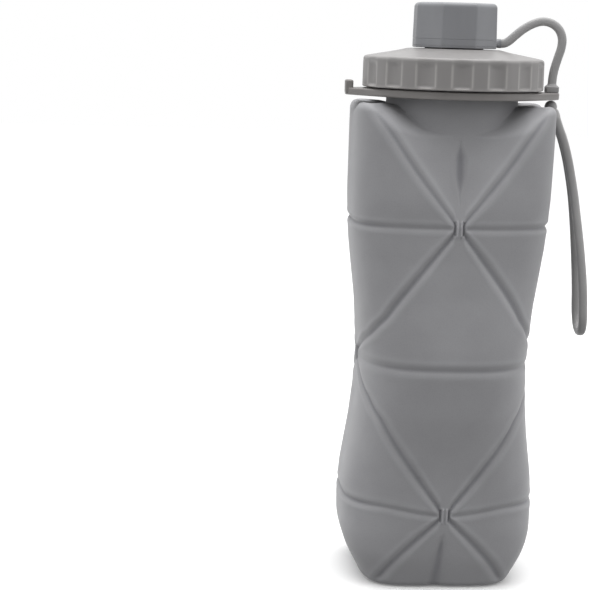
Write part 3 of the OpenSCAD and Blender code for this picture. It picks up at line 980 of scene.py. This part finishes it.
def make_strap_ring():
    """The strap's ring in the cap's groove and the lug that the tether grows from."""
    reach, turn = octagon(256)
    low, high = STRAP_RING_LOW[2] - 0.1, STRAP_RING_HIGH[2] + 0.1
    hole_r, lug_wide = 14.05, 8.5
    section = [(hole_r, low), (reach - SEAM, low), (reach, low + SEAM)]
    section += [(reach, high - SEAM), (reach - SEAM, high), (hole_r, high)]
    ring = Build()
    ring.rings([level_loop(radius, turn, z) for radius, z in section], closed=True)
    middle_z = TETHER_ROUTE[0][2] / MM
    path = smooth_route([[x, 0, middle_z] for x in (14.6, 15.8, 17, 18.5)], 0.35)
    grow = smoothstep(14.6, 18.4, path[:, 0])
    tall = 2.4 + 1.2 * smoothstep(15.9, 17.5, path[:, 0])
    ring.rings(tube_rings(path, (0, 1, 0), lug_wide - (lug_wide - CORD_D) * grow ** 0.6, tall))
    obj = mesh_object("strap_collar", ring, CAP, sharp=30)
    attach(obj, "cap_ring")
    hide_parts("strap_ring")


def moved(loops, x):
    """Loops of points moved along X."""
    return [loop + (x, 0, 0) for loop in loops]


def make_stopper():
    """The block on the tab that the tether ends in, and its stem down through the tab."""
    x, half = (STOPPER_LOW[0] + STOPPER_HIGH[0]) / 2, (STOPPER_HIGH[0] - STOPPER_LOW[0]) / 2
    base_z, top, stem_r, sides = RING_LOW[2] + TAB_THICK, STOPPER_HIGH[2], 1.6, 32
    stopper = Build()
    rounded_box(stopper, (x - half, -half, base_z), (x + half, half, top), 0.55, 0.15)
    stem = [(stem_r, RING_LOW[2] - 0.2), (stem_r, base_z + 0.4)]
    stopper.rings(moved(turned(stem, sides), x))
    flare = [(2.3, top - 0.1), (2.0, top + 0.25), (1.72, top + 0.8)]
    stopper.rings(moved(turned(flare, sides), x))
    obj = mesh_object("stopper_block", stopper, STRAP)
    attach(obj, "neck")
    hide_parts("strap_stopper")


# Middle of the ball under the tab.
KNOT_X, KNOT_Z = (KNOT_LOW[0] + KNOT_HIGH[0]) / 2, (KNOT_LOW[2] + KNOT_HIGH[2]) / 2


def make_knot():
    """The ball under the tab."""
    radius = (KNOT_HIGH[2] - KNOT_LOW[2]) / 2
    knot = Build()
    knot.rings(moved(turned(arc(0, KNOT_Z, radius, -88, 88, 25), 48), KNOT_X))
    obj = mesh_object("knot_ball", knot, STRAP, sharp=0)
    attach(obj, "loop_pivot")
    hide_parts("strap_knot")


def make_yoke():
    """The taper under the ball where the strap splits into the loop's two strands."""
    start_x, _, start_z = np.array(LOOP_ROUTE[0]) / MM
    after_x = LOOP_ROUTE[1][0] / MM
    route = [[KNOT_X + 0.35, 0, KNOT_Z - 1.3], [KNOT_X + 0.75, 0, KNOT_Z - 2.2],
             [start_x - 0.3, 0, start_z + 0.8], [start_x + 0.4, 0, start_z - 0.9],
             [(start_x + after_x) / 2 + 0.35, 0, start_z - 2.2]]
    path = smooth_route(route, 0.3)
    fall = np.linspace(0, 1, len(path))
    split = smoothstep(0.55, 1, fall)
    across = 4.4 + 2.7 * smoothstep(0.1, 0.75, fall) - 1.6 * split
    thick = 4.2 + 0.7 * smoothstep(0, 0.2, fall) - 1.4 * smoothstep(0.2, 0.8, fall) - 0.8 * split
    yoke = Build()
    yoke.rings(tube_rings(path, (1, 0, 0), thick, across, 2.3, 32))
    obj = mesh_object("yoke_taper", yoke, STRAP)
    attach(obj, "hand_loop")
    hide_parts("loop_yoke")


make_neck()
make_carry_ring()
make_lid()
make_cap()
make_strap_ring()
make_stopper()
make_knot()
make_yoke()
for node, material in (("neck_collar", PLASTIC), ("lid_gasket", SEAL), ("cap_liner", SEAL)):
    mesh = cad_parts[node].data
    mesh.materials.clear()
    mesh.materials.append(material)


# ---------- floor and light ----------

def make_floor():
    """The plain white table top. It throws no soft light back up at the bottle."""
    mesh = bpy.data.meshes.new("floor")
    half, z = 3.0, -0.0003
    corners = [(-half, -half, z), (half, -half, z), (half, half, z), (-half, half, z)]
    mesh.from_pydata(corners, [], [(0, 1, 2, 3)])
    floor = bpy.data.objects.new("floor", mesh)
    bpy.context.collection.objects.link(floor)
    material, _, shader = new_material("floor_white", scaled(WHITE, 0.93), 0.85)
    shader.inputs["Emission Color"].default_value = (1, 1, 1, 1)
    shader.inputs["Emission Strength"].default_value = 0.06
    mesh.materials.append(material)
    floor.visible_diffuse = False


def softbox(name, place, aim, size, power):
    """A square area light at place, turned to aim at a point."""
    light = bpy.data.lights.new(name, "AREA")
    light.size = size
    light.energy = power
    lamp = bpy.data.objects.new(name, light)
    away = np.array(place, float) - np.array(aim, float)
    away /= np.linalg.norm(away)
    side = np.cross((0, 0, 1) if abs(away[2]) < 0.98 else (0, 1, 0), away)
    side /= np.linalg.norm(side)
    up = np.cross(away, side)
    stand = np.column_stack([side, up, away, place])
    lamp.matrix_world = Matrix(np.vstack([stand, (0, 0, 0, 1)]).tolist())
    bpy.context.collection.objects.link(lamp)


# The tent's brightness from below to above, and from the viewer's side to the back: (share of the way, tone).
TENT_UP = [(0, 0.14), (0.5, 0.36), (0.75, 0.8), (1, 1)]
TENT_BACK = [(0, 0.62), (0.5, 0.8), (1, 1)]


def light_studio():
    """A pale tent, brighter above and behind than below and in front, with soft lamps above and beside."""
    scene = bpy.context.scene
    scene.view_settings.view_transform = "Standard"
    world = bpy.data.worlds.new("studio")
    scene.world = world
    world.use_nodes = True
    tree = world.node_tree
    shade = tree.nodes["Background"]
    shade.inputs["Strength"].default_value = 1.5
    place = tree.nodes.new("ShaderNodeTexCoord")
    split = tree.nodes.new("ShaderNodeSeparateXYZ")
    tree.links.new(place.outputs["Generated"], split.inputs["Vector"])
    tones = []
    for axis, stops in (("Z", TENT_UP), ("Y", TENT_BACK)):
        share = tree.nodes.new("ShaderNodeMapRange")
        share.inputs["From Min"].default_value = -1
        tree.links.new(split.outputs[axis], share.inputs["Value"])
        tones.append(ramp(tree, share.outputs["Result"], [(at, scaled(WHITE, tone)) for at, tone in stops]))
    tree.links.new(multiply(tree, *tones), shade.inputs["Color"])
    plain = tree.nodes.new("ShaderNodeBackground")
    plain.inputs["Color"].default_value = (1, 1, 1, 1)
    plain.inputs["Strength"].default_value = 1.0
    seen = tree.nodes.new("ShaderNodeLightPath")
    mix = tree.nodes.new("ShaderNodeMixShader")
    tree.links.new(seen.outputs["Is Camera Ray"], mix.inputs["Fac"])
    tree.links.new(shade.outputs["Background"], mix.inputs[1])
    tree.links.new(plain.outputs["Background"], mix.inputs[2])
    tree.links.new(mix.outputs["Shader"], tree.nodes["World Output"].inputs["Surface"])
    middle = (0, 0, 0.12)
    softbox("key_left", (-1.2, -0.3, 0.6), middle, 0.9, 1.6)
    softbox("fill_right", (1.2, -0.2, 0.6), middle, 0.9, 2.4)
    softbox("top", (0.0, 0.1, 1.3), middle, 1.2, 12.0)


make_floor()
light_studio()
